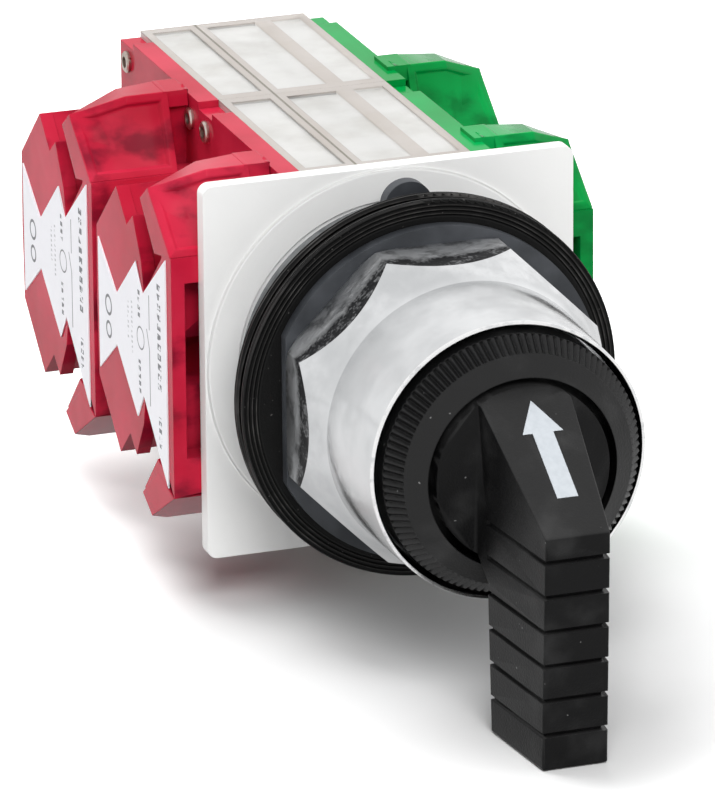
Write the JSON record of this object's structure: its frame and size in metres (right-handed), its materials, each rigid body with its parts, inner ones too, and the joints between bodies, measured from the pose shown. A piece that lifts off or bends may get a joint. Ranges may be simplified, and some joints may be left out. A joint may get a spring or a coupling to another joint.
{
  "type": "selector switch",
  "caption": "Heavy-duty 30 mm panel selector switch with a lever knob, chrome ring nut and stacked red, clear and green contact blocks.",
  "frame": {"origin": "on the turning axis, where the panel is clamped between the trim washer and the front gasket", "axes": "+Y along the turning axis from the knob towards the contact blocks, +Z towards the 12 o'clock locating tab, +X to the right seen from the knob"},
  "size_m": [0.0512, 0.1208, 0.0508],
  "materials": {
    "black_plastic": "satin moulded",
    "marking_white": "printed white",
    "chrome": "polished",
    "dark_zinc": "satin",
    "black_rubber": "moulded",
    "white_plastic": "satin moulded",
    "red_plastic": "glossy moulded",
    "green_plastic": "glossy moulded",
    "clear_plastic": "clear moulded",
    "natural_plastic": "satin moulded",
    "brass": "stamped",
    "steel": "zinc plated",
    "spring_steel": "drawn",
    "inner_zinc": "as cast"
  },
  "bodies": {
    "body": {"knob_retaining_ring": "black_plastic", "ring_nut": "chrome", "trim_washer": "dark_zinc", "gasket_front": "black_rubber", "gasket_middle": "black_rubber", "gasket_rear": "black_rubber", "locating_tab_washer": "dark_zinc", "operator_body": "inner_zinc", "knob_seal": "black_rubber", "detent_spring": "spring_steel", "rod_guide": "natural_plastic", "base_plate": "white_plastic", "base_plate_screws": "steel", "block_screws": "steel", "terminal_screws_left": "steel", "terminal_screws_right": "steel", "terminal_clamps_left": "steel", "terminal_clamps_right": "steel", "case_rivets": "brass", "label_front": "marking_white", "label_rear": "marking_white", "terminal_housing_left_front": "red_plastic", "clear_case_left_front": "clear_plastic", "terminal_strap_left_front_upper": "brass", "terminal_strap_left_front_lower": "brass", "return_spring_left_front": "spring_steel", "terminal_housing_left_rear": "red_plastic", "clear_case_left_rear": "clear_plastic", "terminal_strap_left_rear_upper": "brass", "terminal_strap_left_rear_lower": "brass", "return_spring_left_rear": "spring_steel", "terminal_housing_right_front": "green_plastic", "clear_case_right_front": "clear_plastic", "terminal_strap_right_front_upper": "brass", "terminal_strap_right_front_lower": "brass", "return_spring_right_front": "spring_steel", "terminal_housing_right_rear": "green_plastic", "clear_case_right_rear": "clear_plastic", "terminal_strap_right_rear_upper": "brass", "terminal_strap_right_rear_lower": "brass", "return_spring_right_rear": "spring_steel"},
    "knob": {"knob": "black_plastic", "knob_arrow": "marking_white", "cam_rotor": "natural_plastic"},
    "left_plungers": {"push_rod_left": "steel", "plunger_left_front": "natural_plastic", "contact_bridge_left_front": "brass", "plunger_left_rear": "natural_plastic", "contact_bridge_left_rear": "brass"},
    "right_plungers": {"push_rod_right": "steel", "plunger_right_front": "natural_plastic", "contact_bridge_right_front": "brass", "plunger_right_rear": "natural_plastic", "contact_bridge_right_rear": "brass"}
  },
  "joints": [
    {"name": "knob_turn", "type": "hinge", "parent": "body", "child": "knob", "pos_m": [0, 0, 0], "axis": [0, 1, 0], "range_deg": [-45, 45], "deforming": ["detent_spring"]},
    {"name": "left_plungers_slide", "type": "slide", "parent": "body", "child": "left_plungers", "axis": [0, 1, 0], "range_m": [-0.0015, 0.0015], "deforming": ["return_spring_left_front", "return_spring_left_rear"]},
    {"name": "right_plungers_slide", "type": "slide", "parent": "body", "child": "right_plungers", "axis": [0, 1, 0], "range_m": [-0.0015, 0.0015], "deforming": ["return_spring_right_front", "return_spring_right_rear"]}
  ],
  "couplings": [
    {"joint": "left_plungers_slide", "follows": "knob_turn", "m_per_rad": 0.0019099},
    {"joint": "right_plungers_slide", "follows": "knob_turn", "m_per_rad": 0.0019099}
  ]
}
